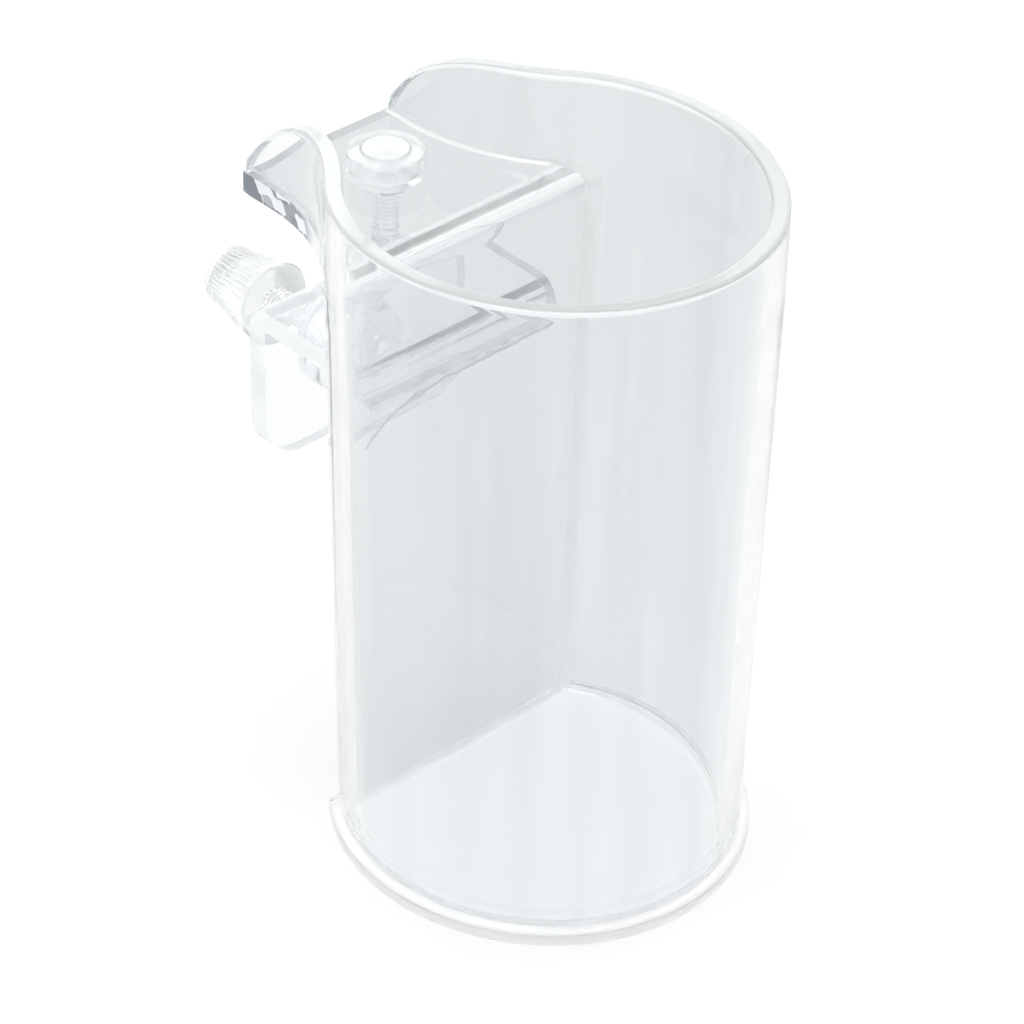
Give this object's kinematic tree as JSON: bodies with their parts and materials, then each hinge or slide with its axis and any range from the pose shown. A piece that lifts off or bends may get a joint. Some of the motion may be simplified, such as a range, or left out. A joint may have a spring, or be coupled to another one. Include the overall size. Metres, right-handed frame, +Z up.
{
  "type": "hang-on cup with screw clamp",
  "caption": "Clear acrylic cup with a flat back, a rear flange with a vertical screw and a rear bracket with a knurled thumb screw, for clamping on an upright board or wall.",
  "frame": {"origin": "centre of the round bowl, on the underside of the base plate", "axes": "+Z up, +Y from the bowl through the flat back plate to the clamp, +X along the back plate"},
  "size_m": [0.092, 0.1539, 0.162],
  "materials": {
    "clear_sheet": "polished clear acrylic",
    "clear_screw": "moulded clear plastic",
    "cement": "clear solvent cement, glossy"
  },
  "bodies": {
    "root": {"cup_wall": "clear_sheet", "back_plate": "clear_sheet", "base_plate": "clear_sheet", "clamp_bracket": "clear_sheet", "screw_boss": "clear_sheet", "plate_cement": "cement", "corner_cement": "cement", "foot_cement_outer": "cement", "foot_cement_inner": "cement", "wing_cement": "cement", "bracket_cement": "cement"},
    "clamp_shank": {"thumb_stud": "clear_screw"},
    "clamp_knob": {"thumb_knob": "clear_screw"},
    "top_shank": {"top_screw": "clear_screw"},
    "top_turner": {"top_collar": "clear_screw"}
  },
  "joints": [
    {"name": "clamp_travel", "type": "slide", "parent": "root", "child": "clamp_shank", "axis": [0, -1, 0], "range_m": [-0.0034, 0.0157]},
    {"name": "clamp_turn", "type": "hinge", "parent": "clamp_shank", "child": "clamp_knob", "pos_m": [0, 0.097, 0.09], "axis": [0, -1, 0], "range_deg": [-985, 4530]},
    {"name": "top_travel", "type": "slide", "parent": "root", "child": "top_shank", "axis": [0, 0, 1], "range_m": [0, 0.0141]},
    {"name": "top_turn", "type": "hinge", "parent": "top_shank", "child": "top_turner", "pos_m": [0, 0.052, 0.1435], "axis": [0, 0, 1], "range_deg": [0, 5085]}
  ],
  "couplings": [
    {"joint": "clamp_turn", "follows": "clamp_travel", "rad_per_m": 5026.5},
    {"joint": "top_turn", "follows": "top_travel", "rad_per_m": 6283.2}
  ]
}
